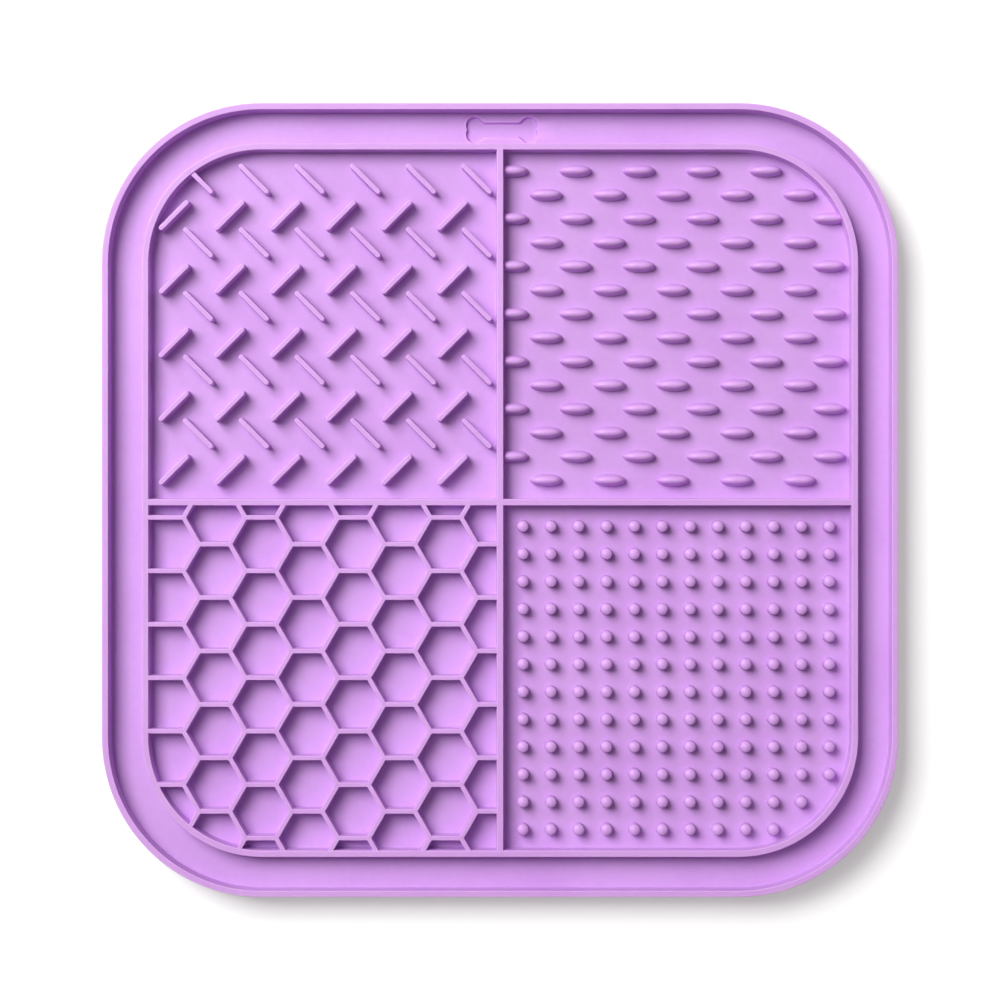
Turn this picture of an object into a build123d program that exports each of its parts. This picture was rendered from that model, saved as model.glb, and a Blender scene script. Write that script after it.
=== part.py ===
"""Square silicone lick mat.

A backing sheet carries an outer rim, an inner rim with a spill channel between them, crossed walls that
part four textured fields, and suction cups underneath. The textures are slanted ribs, staggered oval nubs,
a honeycomb and round nubs. The origin lies under the middle of the mat, on the plane that the cups stand
on. +Z is up, and the bone mark is on the +Y side. Lengths are in millimetres, angles in degrees.
"""

import os
from math import ceil, hypot, sqrt

from build123d import *

# Outline and backing sheet
mat_width = 200.0
mat_depth = 199.4
corner_radius = 40.0
sheet_thickness = 2.0

# Rims and the spill channel between them
outer_rim_width = 1.6
outer_rim_height = 5.5
channel_width = 8.4
inner_rim_width = 1.65
wall_height = 5.0
rim_edge_radius = 0.25
largest_edge_share = 0.33

# Walls that part the four fields
centre_wall_width = 1.65
cross_wall_width = 1.6
cross_wall_shift = 0.55

# Bone mark sunk in the channel floor
bone_length = 17.9
bone_lobe_radius = 2.1
bone_lobe_offset = 1.12
bone_shank_width = 3.55
bone_depth = 1.1
bone_shift_x = 0.45
bone_shift_y = -0.3

# Slanted ribs, upper left field
rib_columns = 6
rib_rows = 5
rib_length = 10.2
rib_width = 1.25
rib_height = 4.7
rib_angle = 45.0
rib_stagger_x = 6.1
rib_stagger_y = 9.14
rib_side_gap = 6.34
rib_centre_gap = 5.04
rib_top_gap = 7.28
rib_bottom_gap = 7.36

# Oval nubs, upper right field
oval_columns = 6
oval_rows = 14
oval_length = 8.1
oval_width = 3.0
oval_height = 3.6
oval_dome_share = 1.15
oval_stagger = 8.54
oval_side_gap = 5.11
oval_centre_gap = 2.265
oval_top_gap = 4.92
oval_bottom_gap = 4.76

# Honeycomb, lower left field
comb_pitch = 13.43
comb_wall_width = 1.16
comb_side_gap = 4.95
comb_top_gap = 3.04
comb_least_area_share = 0.04

# Round nubs, lower right field
nub_columns = 12
nub_rows = 12
nub_radius = 1.5
nub_height = 3.6
nub_dome_radius = 0.7
largest_dome_share = 0.95
nub_side_gap = 5.38
nub_centre_gap = 4.94
nub_top_gap = 5.26
nub_bottom_gap = 5.0

# Suction cups under the sheet
cup_columns = 5
cup_rows = 5
cup_radius = 12.0
cup_neck_radius = 9.0
cup_height = 2.5
cup_lip_width = 0.6
cup_dish_depth = 1.7
cup_edge_distance = 24.0

# Levels above the plane that the cups stand on
floor_level = cup_height + sheet_thickness

# Outline round the inner rim, and round the room inside it
inner_rim_inset = outer_rim_width + channel_width
room_inset = inner_rim_inset + inner_rim_width
room_width = mat_width - 2 * room_inset
room_depth = mat_depth - 2 * room_inset
room_radius = corner_radius - room_inset

# Sides of the four fields
field_outer_x = room_width / 2
field_inner_x = centre_wall_width / 2
field_outer_y = room_depth / 2
upper_inner_y = cross_wall_width / 2 - cross_wall_shift
lower_inner_y = -cross_wall_width / 2 - cross_wall_shift
field_width = field_outer_x - field_inner_x
lower_depth = field_outer_y + lower_inner_y

os.makedirs("parts", exist_ok=True)


def save(builder, name):
    """Label a finished piece and write its STEP file."""
    builder.part.label = name
    export_step(builder.part, f"parts/{name}.step")


def evenly(first, last, count):
    """Places spread evenly from first to last."""
    step = (last - first) / (count - 1)
    return [first + step * index for index in range(count)]


def inside_room(x, y, margin):
    """Whether a point lies in the room inside the inner rim, at least margin from its wall."""
    reach_x = max(abs(x) - (room_width / 2 - room_radius), 0)
    reach_y = max(abs(y) - (room_depth / 2 - room_radius), 0)
    return hypot(reach_x, reach_y) < room_radius - margin


def field_plan(left, right, bottom, top):
    """Floor plan of one field: its rectangle, rounded where the inner rim turns its corner."""
    with BuildSketch(Plane.XY.offset(floor_level)) as plan:
        RectangleRounded(room_width, room_depth, room_radius)
        with Locations(((left + right) / 2, (bottom + top) / 2)):
            Rectangle(right - left, top - bottom, mode=Mode.INTERSECT)
    return plan.sketch


def ring(inset, width, height):
    """Rim that follows the mat's outline: width thick, standing on the sheet, with rounded top edges."""
    with BuildPart() as rim:
        with BuildSketch(Plane.XY.offset(floor_level)):
            RectangleRounded(mat_width - 2 * inset, mat_depth - 2 * inset, corner_radius - inset)
            hollow = inset + width
            RectangleRounded(
                mat_width - 2 * hollow,
                mat_depth - 2 * hollow,
                corner_radius - hollow,
                mode=Mode.SUBTRACT,
            )
        extrude(amount=height)
        fillet(rim.faces().sort_by(Axis.Z)[-1].edges(), min(rim_edge_radius, largest_edge_share * width))
    return rim


def straight_wall(left, right, bottom, top):
    """Wall between two fields, standing on the sheet, with its long top edges rounded."""
    with BuildPart() as wall:
        with BuildSketch(Plane.XY.offset(floor_level)):
            with Locations(((left + right) / 2, (bottom + top) / 2)):
                Rectangle(right - left, top - bottom)
        extrude(amount=wall_height)
        thickness = min(right - left, top - bottom)
        long_edges = wall.faces().sort_by(Axis.Z)[-1].edges().sort_by(SortBy.LENGTH)[-2:]
        fillet(long_edges, min(rim_edge_radius, largest_edge_share * thickness))
    return wall


# Backing sheet with the bone mark near the middle of the channel on the +Y side
bone_y = mat_depth / 2 - outer_rim_width - channel_width / 2 + bone_shift_y
bone_lobe_x = bone_length / 2 - bone_lobe_radius

with BuildPart() as backing_sheet:
    with BuildSketch(Plane.XY.offset(cup_height)):
        RectangleRounded(mat_width, mat_depth, corner_radius)
    extrude(amount=sheet_thickness)
    with BuildSketch(Plane.XY.offset(floor_level)):
        with Locations((bone_shift_x, bone_y)):
            Rectangle(2 * bone_lobe_x, bone_shank_width)
            with GridLocations(2 * bone_lobe_x, 2 * bone_lobe_offset, 2, 2):
                Circle(bone_lobe_radius)
    extrude(amount=-bone_depth, mode=Mode.SUBTRACT)
save(backing_sheet, "backing_sheet")

# Outer rim in four quarters, which meet at the middle of each side
outer_rim = ring(0, outer_rim_width, outer_rim_height)
quarters = [(-1, 1), (1, 1), (-1, -1), (1, -1)]
for number, (right_side, bone_side) in enumerate(quarters, start=1):
    with BuildPart() as quarter:
        add(outer_rim.part)
        with Locations((right_side * mat_width / 4, bone_side * mat_depth / 4, floor_level)):
            Box(mat_width / 2, mat_depth / 2, 2 * outer_rim_height, mode=Mode.INTERSECT)
    save(quarter, f"outer_rim_quarter_{number}")

# Inner rim and the walls between the fields
inner_rim = ring(inner_rim_inset, inner_rim_width, wall_height)
save(inner_rim, "inner_rim")
centre_wall = straight_wall(-field_inner_x, field_inner_x, -field_outer_y, field_outer_y)
save(centre_wall, "centre_wall")
left_cross_wall = straight_wall(-field_outer_x, -field_inner_x, lower_inner_y, upper_inner_y)
save(left_cross_wall, "left_cross_wall")
right_cross_wall = straight_wall(field_inner_x, field_outer_x, lower_inner_y, upper_inner_y)
save(right_cross_wall, "right_cross_wall")

# Slanted ribs: rows that fall to the right alternate with rows that rise to the right
rib_plan = field_plan(-field_outer_x, -field_inner_x, upper_inner_y, field_outer_y)
first_rising_x = -field_outer_x + rib_side_gap
last_falling_x = -field_inner_x - rib_centre_gap
falling_columns = evenly(first_rising_x + rib_stagger_x, last_falling_x, rib_columns)
rising_columns = evenly(first_rising_x, last_falling_x - rib_stagger_x, rib_columns)
first_falling_y = field_outer_y - rib_top_gap
last_rising_y = upper_inner_y + rib_bottom_gap
falling_levels = evenly(first_falling_y, last_rising_y + rib_stagger_y, rib_rows)
rising_levels = evenly(first_falling_y - rib_stagger_y, last_rising_y, rib_rows)


def rib_row(columns, level, angle):
    """One row of round-ended ribs, cut off where they meet the field's walls."""
    with BuildPart() as row:
        with BuildSketch(Plane.XY.offset(floor_level)):
            with Locations(*[(x, level) for x in columns]):
                SlotOverall(rib_length, rib_width, rotation=angle)
            add(rib_plan, mode=Mode.INTERSECT)
        extrude(amount=rib_height)
    return row


for number, level in enumerate(falling_levels, start=1):
    save(rib_row(falling_columns, level, -rib_angle), f"falling_ribs_row_{number}")
for number, level in enumerate(rising_levels, start=1):
    save(rib_row(rising_columns, level, rib_angle), f"rising_ribs_row_{number}")

# Oval nubs: upright ovals under a domed top, in rows that are staggered by about half their pitch
oval_plan = field_plan(field_inner_x, field_outer_x, upper_inner_y, field_outer_y)
oval_columns_even = evenly(field_inner_x + oval_centre_gap, field_outer_x - oval_side_gap, oval_columns)
oval_columns_odd = [x + oval_stagger for x in oval_columns_even[:-1]]
oval_levels = evenly(field_outer_y - oval_top_gap, upper_inner_y + oval_bottom_gap, oval_rows)

with BuildPart() as oval_dome:
    Sphere(1)
    scale(by=(oval_dome_share * oval_length / 2, oval_dome_share * oval_width / 2, oval_height))

with BuildPart() as oval_nub:
    with BuildSketch():
        Ellipse(oval_length / 2, oval_width / 2)
    extrude(amount=oval_height)
    add(oval_dome.part, mode=Mode.INTERSECT)

with BuildPart() as oval_room:
    add(oval_plan)
    extrude(amount=oval_height)

for number, level in enumerate(oval_levels, start=1):
    columns = oval_columns_even if number % 2 else oval_columns_odd
    with BuildPart() as row:
        with Locations(*[(x, level, floor_level) for x in columns if inside_room(x, level, 0)]):
            add(oval_nub.part)
        add(oval_room.part, mode=Mode.INTERSECT)
    save(row, f"oval_nubs_row_{number:02d}")

# Honeycomb: straight walls in three directions that meet in threes, each with pointed ends
comb_plan = field_plan(-field_outer_x, -field_inner_x, -field_outer_y, lower_inner_y)
comb_side = comb_pitch / sqrt(3)
comb_column_pitch = 1.5 * comb_side
comb_columns = ceil(field_width / comb_column_pitch) + 1
comb_rows = ceil(lower_depth / comb_pitch) + 2
comb_first_x = -field_outer_x + comb_side_gap
comb_first_y = lower_inner_y - comb_top_gap
comb_tip = comb_wall_width / (2 * sqrt(3))
comb_angle = 60.0

level_places = []
first_column_places = []
rising_places = []
falling_places = []
for column in range(comb_columns):
    for line in range(-1, comb_rows):
        x = comb_first_x + column * comb_column_pitch
        y = comb_first_y - (line + (column % 2) / 2) * comb_pitch
        level_places.append((x, y))
        if column == 0:
            first_column_places.append((x - comb_side_gap / 2, y))
        rising_places.append((x + comb_column_pitch / 2, y + comb_pitch / 4))
        falling_places.append((x + comb_column_pitch / 2, y - comb_pitch / 4))


def comb_walls(places, angle, stub_places=()):
    """Honeycomb walls of one direction, cut off at the field's walls, without the merest scraps.

    Stubs, which are always level, carry walls of the first column on to the inner rim.
    """
    half_side = comb_side / 2
    half_width = comb_wall_width / 2
    upper_points = [(half_side, 0), (half_side - comb_tip, half_width), (comb_tip - half_side, half_width)]
    lower_points = [(-x, -y) for x, y in upper_points]
    with BuildSketch(Plane.XY.offset(floor_level)) as plan:
        with Locations(*places):
            Polygon(*upper_points, *lower_points, rotation=angle, align=None)
        if stub_places:
            with Locations(*stub_places):
                Rectangle(comb_side_gap, comb_wall_width)
        add(comb_plan, mode=Mode.INTERSECT)
    least_area = comb_least_area_share * comb_side * comb_wall_width
    kept_faces = [face for face in plan.sketch.faces() if face.area > least_area]
    with BuildPart() as walls:
        extrude(kept_faces, amount=wall_height, dir=(0, 0, 1))
    return walls


save(comb_walls(level_places, 0, first_column_places), "comb_level_walls")
save(comb_walls(rising_places, comb_angle), "comb_rising_walls")
save(comb_walls(falling_places, -comb_angle), "comb_falling_walls")

# Round nubs: short domed pegs on a square grid, left out where the room's corner cuts the grid off
nub_x_places = evenly(field_inner_x + nub_centre_gap, field_outer_x - nub_side_gap, nub_columns)
nub_levels = evenly(lower_inner_y - nub_top_gap, -field_outer_y + nub_bottom_gap, nub_rows)

for number, level in enumerate(nub_levels, start=1):
    with BuildPart() as row:
        with BuildSketch(Plane.XY.offset(floor_level)):
            with Locations(*[(x, level) for x in nub_x_places if inside_room(x, level, nub_radius)]):
                Circle(nub_radius)
        extrude(amount=nub_height)
        tops = row.faces().filter_by(Axis.Z).group_by(Axis.Z)[-1]
        fillet(tops.edges(), min(nub_dome_radius, largest_dome_share * nub_radius))
    save(row, f"round_nubs_row_{number:02d}")

# Suction cups: shallow skirts with a dished underside, on an even grid under the sheet
cup_x_places = evenly(cup_edge_distance - mat_width / 2, mat_width / 2 - cup_edge_distance, cup_columns)
cup_levels = evenly(mat_depth / 2 - cup_edge_distance, cup_edge_distance - mat_depth / 2, cup_rows)

with BuildPart() as suction_cup:
    with BuildSketch(Plane.XZ):
        with BuildLine():
            dish_top = (0, cup_dish_depth)
            lip = (cup_radius - cup_lip_width, 0)
            Polyline(dish_top, (0, cup_height), (cup_neck_radius, cup_height), (cup_radius, 0), lip)
            TangentArc(dish_top, lip, tangent=(1, 0))
        make_face()
    revolve(axis=Axis.Z)

for number, level in enumerate(cup_levels, start=1):
    with BuildPart() as row:
        with Locations(*[(x, level) for x in cup_x_places]):
            add(suction_cup.part)
    save(row, f"suction_cups_row_{number}")
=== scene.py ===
"""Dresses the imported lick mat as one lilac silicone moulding, with a camera straight above it.

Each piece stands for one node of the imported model, or for the four quarters of the outer rim, and lies where
they lie. Lengths are in metres.
"""

from math import pi, radians, sqrt, tan

import bpy
import numpy as np
from bpy.props import FloatProperty, FloatVectorProperty, IntProperty, PointerProperty
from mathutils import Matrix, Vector


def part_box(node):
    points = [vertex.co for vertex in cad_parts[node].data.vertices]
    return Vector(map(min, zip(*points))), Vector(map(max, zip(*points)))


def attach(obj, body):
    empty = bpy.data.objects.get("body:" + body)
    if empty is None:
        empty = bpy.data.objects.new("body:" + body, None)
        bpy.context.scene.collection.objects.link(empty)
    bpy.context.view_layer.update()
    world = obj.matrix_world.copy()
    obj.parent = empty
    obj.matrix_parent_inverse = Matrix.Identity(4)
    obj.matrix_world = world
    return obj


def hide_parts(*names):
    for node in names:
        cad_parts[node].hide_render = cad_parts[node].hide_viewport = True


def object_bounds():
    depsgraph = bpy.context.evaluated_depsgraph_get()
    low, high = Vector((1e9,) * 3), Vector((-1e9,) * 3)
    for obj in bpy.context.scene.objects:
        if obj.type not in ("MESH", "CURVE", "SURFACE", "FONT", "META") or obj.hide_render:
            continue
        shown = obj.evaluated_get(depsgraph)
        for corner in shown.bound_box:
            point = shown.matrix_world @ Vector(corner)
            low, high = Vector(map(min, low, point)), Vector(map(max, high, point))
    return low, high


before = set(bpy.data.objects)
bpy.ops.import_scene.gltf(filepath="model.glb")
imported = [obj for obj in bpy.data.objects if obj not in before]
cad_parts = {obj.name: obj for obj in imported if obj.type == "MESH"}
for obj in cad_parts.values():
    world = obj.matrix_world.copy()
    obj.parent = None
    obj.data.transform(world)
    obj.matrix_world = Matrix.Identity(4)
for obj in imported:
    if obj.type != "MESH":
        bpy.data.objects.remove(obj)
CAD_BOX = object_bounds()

bl_info = {
    "name": "Lick Mat Dresser",
    "version": (1, 0, 0),
    "blender": (4, 5, 0),
    "location": "View3D > Sidebar > Lick Mat",
    "description": "Builds the silicone surfaces of a square lick mat round its packed model",
    "category": "Object",
}

MM = 0.001
BODY = "root"

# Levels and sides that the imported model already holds
SHEET_LOW, SHEET_HIGH = (np.array(corner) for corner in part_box("backing_sheet"))
INNER_LOW, INNER_HIGH = (np.array(corner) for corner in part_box("inner_rim"))
FLOOR = SHEET_HIGH[2]
MAT_HALF = (SHEET_HIGH - SHEET_LOW)[:2] / 2
INNER_HALF = (INNER_HIGH - INNER_LOW)[:2] / 2
INNER_INSET = MAT_HALF[0] - INNER_HALF[0]
CENTRE_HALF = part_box("centre_wall")[1][0]
CROSS_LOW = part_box("left_cross_wall")[0][1]
CROSS_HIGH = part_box("left_cross_wall")[1][1]
WALL_HEIGHT = INNER_HIGH[2] - FLOOR

# Shapes in one whole row
RIBS_IN_ROW = 6
OVALS_IN_LONG_ROW = 6
OVALS_IN_SHORT_ROW = 5
NUBS_IN_ROW = 12
CUPS_IN_ROW = 5

# Points and steps in the grids of the surfaces
SHEET_SIDE_POINTS = 9
SHEET_CORNER_STEPS = 20
RIM_SIDE_POINTS = 13
RIM_CORNER_STEPS = 32
RIB_END_STEPS = 8
OVAL_POINTS = 22
NUB_POINTS = 14
COMB_TRIAL_POINTS = 33
CUP_POINTS = 40
CUP_DISH_POINTS = 9
CUP_SKIRT_POINTS = 6

# Rings of a flat face and of an oval nub, as shares of their outlines
FLAT_SHARES = np.array([0.04, 0.5, 1.0])
OVAL_SHARES = np.array([0.996, 0.96, 0.88, 0.74, 0.56, 0.34, 0.05])

# Painted highlight on a surface, from 0 for none to 1 for the full highlight colour: it paints the light that
# edges, flat tops, oval ridges, nub crowns and the bone mark's rim catch
EDGE_HIGHLIGHT = 0.8
FLAT_HIGHLIGHT = (0.34, 0.3)
BONE_HIGHLIGHT = 0.55
RIDGE_HIGHLIGHT = 0.5
NUB_HIGHLIGHT = np.array([0.0, 0.0, 0.05, 0.1, 0.3, 0.5, 0.6])

# Each field wall is a step lower than the one before it, and the honeycomb is lower than the rim, so that
# tops that meet don't lie in one plane
WALL_STEP = 0.008 * MM
COMB_STEP = 0.02 * MM

# Edge roundings of the thinner walls, as shares of the rims' edge radius
RIB_EDGE = 0.9
COMB_EDGE = 0.8

# How far a nub's foot stands out at its own height, as a share of the foot radius
FOOT_SPREAD = 0.3

# Faces that meet at more than this angle are shaded with a sharp edge
SHARP_ANGLE = radians(38.0)

# Differences in height and in direction that count as none
NEARLY_LEVEL = 0.001 * MM
NEARLY_ZERO = 1e-9

# Moulded skin: size of the mottle in grains, its share in the clouds, and what grain and the painted
# highlight do to the roughness
MOTTLE_SIZE = 6.0
MOTTLE_SHARE = 0.35
GRAIN_ROUGHENING = 0.16
HIGHLIGHT_SMOOTHING = 0.1

# Depth of the grain on the sheet and on the cups, and the cups' roughness as a share of the sheet's
MOULDED_GRAIN_DEPTH = 0.012 * MM
POLISHED_GRAIN_DEPTH = 0.004 * MM
POLISHED_SHARE = 0.7

# Suction cups: bevel of the lip's edge across and up, the power of the skirt's flare, and the innermost ring
# of the dish as a share of the lip's radius
CUP_LIP_EDGE = 0.1 * MM
CUP_SKIRT_START = 0.12 * MM
CUP_FLARE = 1.6
CUP_MIDDLE_SHARE = 0.03

# Floor: its paint, the light added where it is seen directly, and where it fades to plain white
FLOOR_PAINT = 0.86
FLOOR_LIFT = 0.36
FADE_START = 0.20
FADE_END = 0.40

# Camera sensor, in millimetres
SENSOR_WIDTH = 36.0


def length(name, description, millimetres):
    """A length property whose default is given in millimetres."""
    return FloatProperty(
        name=name, description=description, default=millimetres * MM, unit="LENGTH", precision=5
    )


def amount(name, description, value, **more):
    """A number property, with its unit or subtype where one fits."""
    return FloatProperty(name=name, description=description, default=value, **more)


def tint(name, description, value):
    """A colour property."""
    return FloatVectorProperty(name=name, description=description, default=value, subtype="COLOR", size=3)


def spot(name, description, value):
    """A property that holds a point in space."""
    return FloatVectorProperty(name=name, description=description, default=value, unit="LENGTH")


class MatSizes(bpy.types.PropertyGroup):
    """Sizes of the sheet, the rims and the mould's own roundings."""

    corner_radius: length("Corner radius", "Radius of the mat's outer corners", 40.0)
    outer_rim_width: length("Outer rim width", "Thickness of the outer rim at its top", 1.6)
    inner_rim_width: length("Inner rim width", "Thickness of the inner rim at its top", 1.65)
    edge_radius: length("Edge radius", "Rounding of the top edges of rims and walls", 0.14)
    # Edge band: the band beside a top edge where the painted highlight lies on the flat
    edge_band: length("Edge band", "Width of the band of painted highlight beside a top edge", 0.24)
    foot_radius: length("Foot radius", "Fillet where a wall leaves the floor", 0.16)
    sheet_edge_radius: length("Sheet edge radius", "Rounding of the sheet's lower edge", 0.5)
    sink: length("Sink", "How far a piece reaches into the piece that carries it", 0.4)
    draft: amount("Draft", "Lean of the moulded walls", radians(1.4), subtype="ANGLE")
    arc_steps: IntProperty(name="Arc steps", description="Steps in each quarter round", default=4, min=2)


class BoneSizes(bpy.types.PropertyGroup):
    """Sizes of the bone mark sunk in the channel floor."""

    bone_length: length("Length", "Length of the bone mark", 17.9)
    lobe_radius: length("Lobe radius", "Radius of each lobe at the bone's ends", 2.1)
    lobe_offset: length("Lobe offset", "Distance of each lobe from the bone's middle line", 1.12)
    shank_width: length("Shank width", "Width of the bone between its ends", 3.55)
    depth: length("Depth", "How deep the mark is sunk", 1.1)
    shift_x: length("Shift X", "How far the mark lies to the right of the mat's middle", 0.45)
    shift_y: length("Shift Y", "How far the mark lies outwards from the channel's middle", -0.3)
    slope: length("Slope", "Width of the rounded step round the mark", 0.26)
    blend: length("Blend", "Reach of the rounded corners between lobes and shank", 0.9)
    spacing: length("Spacing", "Distance between the surface's grid lines at the mark", 0.11)


class FieldSizes(bpy.types.PropertyGroup):
    """Sizes of the ribs, nubs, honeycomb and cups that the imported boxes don't give."""

    rib_length: length("Rib length", "Overall length of a slanted rib", 10.2)
    rib_width: length("Rib width", "Thickness of a slanted rib at its top", 1.22)
    oval_length: length("Oval length", "Length of an oval nub", 8.1)
    oval_ridge: amount("Oval ridge", "How level an oval nub's ridge stays: 2 is an ellipse", 3.0)
    oval_crest: amount("Oval crest", "How full an oval nub's section is: 2 is an ellipse", 2.35)
    nub_edge: length("Nub edge", "Rounding of the top edge of a round nub", 0.45)
    nub_crown: length("Nub crown", "Rise of the slightly domed top of a round nub", 0.5)
    comb_pitch: length("Comb pitch", "Distance between opposite walls of a cell", 13.43)
    comb_width: length("Comb width", "Thickness of the honeycomb's walls at their top", 1.14)
    comb_side_gap: length("Comb side gap", "From the inner rim to the first column of cells", 4.95)
    comb_top_gap: length("Comb top gap", "From the cross wall to the first level wall", 3.04)
    comb_least: length("Comb least", "Shortest piece of honeycomb wall that is kept", 0.5)
    cup_lip: length("Cup lip", "Width of the flat lip of a suction cup", 0.6)
    cup_neck: length("Cup neck", "Radius of a suction cup where it joins the sheet", 9.0)
    cup_dish: length("Cup dish", "Depth of the dished underside of a suction cup", 1.7)


class SiliconeFinish(bpy.types.PropertyGroup):
    """Colour and surface of the silicone."""

    colour: tint("Colour", "Dye of the silicone", (0.652, 0.368, 0.788))
    deep_colour: tint("Deep colour", "Dye where it is thickest", (0.615, 0.325, 0.755))
    # paler colour of the painted highlight on edges, tops, ridges and the bone mark's rim
    highlight_colour: tint("Highlight colour", "Colour of the painted highlight on edges and tops", (0.84, 0.45, 0.99))
    roughness: amount("Roughness", "Roughness of the moulded skin", 0.45)
    grain: length("Grain", "Size of the mould's fine matt grain", 0.28)
    cloud: length("Cloud", "Size of the faint clouds in the dye", 26.0)
    glow: amount("Glow", "Share of light that passes under the skin", 0.14)


class StageSettings(bpy.types.PropertyGroup):
    """Camera, lamps, sky and floor."""

    camera_height: amount("Camera height", "Height above the mat's top", 0.72, unit="LENGTH")
    frame_width: amount("Frame width", "Width of the picture at the mat's top", 0.25107, unit="LENGTH")
    lamp_place: spot("Lamp place", "Middle of the soft box", (-0.62, 0.64, 1.2))
    lamp_size: amount("Lamp size", "Side of the soft box", 0.94, unit="LENGTH")
    lamp_power: amount("Lamp power", "Power of the soft box", 30.7, unit="POWER")
    lamp_aim: spot("Lamp aim", "Point that the soft box faces", (1.2, 0.7, 0.1))
    wide_size: amount("Wide size", "Side of the wide screen", 2.4, unit="LENGTH")
    wide_power: amount("Wide power", "Power of the wide screen", 5.0, unit="POWER")
    wide_share: amount("Wide share", "Distance of the wide screen as a share of the soft box's", 1.4)
    sky_colour: tint("Sky colour", "Tint of the even light", (1.0, 0.88, 0.74))
    sky_strength: amount("Sky strength", "Level of the even light", 0.085)
    floor_size: amount("Floor size", "Side of the floor", 3.0, unit="LENGTH")


def nodes_called(start):
    """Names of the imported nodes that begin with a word, in order."""
    return sorted(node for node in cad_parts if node.startswith(start))


def in_row(columns, low, high):
    """Places at the columns, level with the middle of a row whose box goes from low to high."""
    return np.stack([columns, np.full(len(columns), (low[1] + high[1]) / 2)], axis=1)


def with_rise(plan, rise):
    """Points in space: a plan, shape (..., 2), with heights that are spread over it."""
    rise = np.broadcast_to(rise, plan.shape[:-1])
    return np.concatenate([plan, rise[..., None]], axis=-1)


def quarter_round(steps):
    """Sine and cosine along a quarter turn, from its start to its end."""
    turn = np.linspace(0.0, pi / 2, steps + 1)
    return np.sin(turn), np.cos(turn)


def wall_side(half_width, height, edge, sizes):
    """Half the section of a moulded wall, as rows of (distance from its middle, height above the floor).

    It starts under the floor, leaves the floor level in a quarter-round foot, leans in by the draft and
    turns on to the flat top in a quarter-round edge. The last two rows lie on the flat, at the end of the
    band of painted highlight beside the edge and half way on from there to the middle.
    """
    sine, cosine = quarter_round(sizes.arc_steps)
    foot = sizes.foot_radius
    base = half_width + tan(sizes.draft) * (height - foot - edge)
    foot_rows = np.stack([base + foot * (1 - sine), foot * (1 - cosine)], axis=1)
    edge_rows = np.stack([half_width - edge * (1 - cosine), height - edge * (1 - sine)], axis=1)
    start = [[base + foot, -sizes.sink]]
    inner = half_width - edge - min(sizes.edge_band, (half_width - edge) / 2)
    flat = [[inner, height], [inner / 2, height]]
    return np.concatenate([start, foot_rows, edge_rows, flat])


def side_highlight(sizes):
    """Painted highlight on each row of a wall's section: ever more over the rounded edge, less on the flat
    top.
    """
    sine, _ = quarter_round(sizes.arc_steps)
    return np.concatenate([np.zeros(len(sine) + 1), EDGE_HIGHLIGHT * sine, FLAT_HIGHLIGHT])


def both_ways(side):
    """A half section's rows of one kind, followed by the same rows backwards."""
    return np.concatenate([side, side[::-1]])


def grid_faces(copies, levels, samples, ends):
    """Corner indices and face starts for stacked rings of points, counted copy by copy and level by level.

    Quads join each ring to the next. With ends "caps" the first and last rings are closed by flat faces, and
    with ends "loop" the last ring joins the first.
    """
    ring = np.arange(samples)
    ahead = np.roll(ring, -1)
    spans = levels if ends == "loop" else levels - 1
    lower = np.arange(spans)[:, None] * samples
    upper = (np.arange(spans)[:, None] + 1) % levels * samples
    quads = np.stack([lower + ring, lower + ahead, upper + ahead, upper + ring], axis=-1).reshape(-1, 4)
    first = np.arange(copies)[:, None] * levels * samples
    corners = (first[:, :, None] + quads).reshape(copies, -1)
    counts = np.full(len(quads), 4)
    if ends == "caps":
        caps = np.concatenate([ring[::-1], ring + (levels - 1) * samples])
        corners = np.concatenate([corners, first + caps], axis=1)
        counts = np.concatenate([counts, [samples, samples]])
    counts = np.tile(counts, copies)
    starts = np.concatenate([[0], np.cumsum(counts)[:-1]])
    return corners.ravel(), starts


def make_piece(name, rings, ends, nodes, material, painted_highlight=0.0):
    """One object from stacked rings, shape (copies, levels, samples, 3), that stands for the named nodes.

    The painted highlight, from 0 to 1, is kept with each point for the material to read.
    """
    copies, levels, samples, _ = rings.shape
    corners, starts = grid_faces(copies, levels, samples, ends)
    mesh = bpy.data.meshes.new(name)
    mesh.vertices.add(copies * levels * samples)
    mesh.vertices.foreach_set("co", rings.astype(np.float32).ravel())
    mesh.loops.add(len(corners))
    mesh.loops.foreach_set("vertex_index", corners.astype(np.int32))
    mesh.polygons.add(len(starts))
    mesh.polygons.foreach_set("loop_start", starts.astype(np.int32))
    mesh.update(calc_edges=True)
    if mesh.validate():
        raise RuntimeError(f"the surface of {name} isn't sound")
    mesh.shade_smooth()
    mesh.set_sharp_from_angle(angle=SHARP_ANGLE)
    # painted highlight for each point, lighter where the surface catches the light
    painted_highlight = np.broadcast_to(painted_highlight, rings.shape[:3])
    kept_highlight = mesh.attributes.new("painted_highlight", "FLOAT", "POINT")
    kept_highlight.data.foreach_set("value", painted_highlight.astype(np.float32).ravel())
    mesh.materials.append(material)
    piece = bpy.data.objects.new(name, mesh)
    bpy.context.scene.collection.objects.link(piece)
    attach(piece, BODY)
    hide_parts(*nodes)
    return piece


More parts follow.
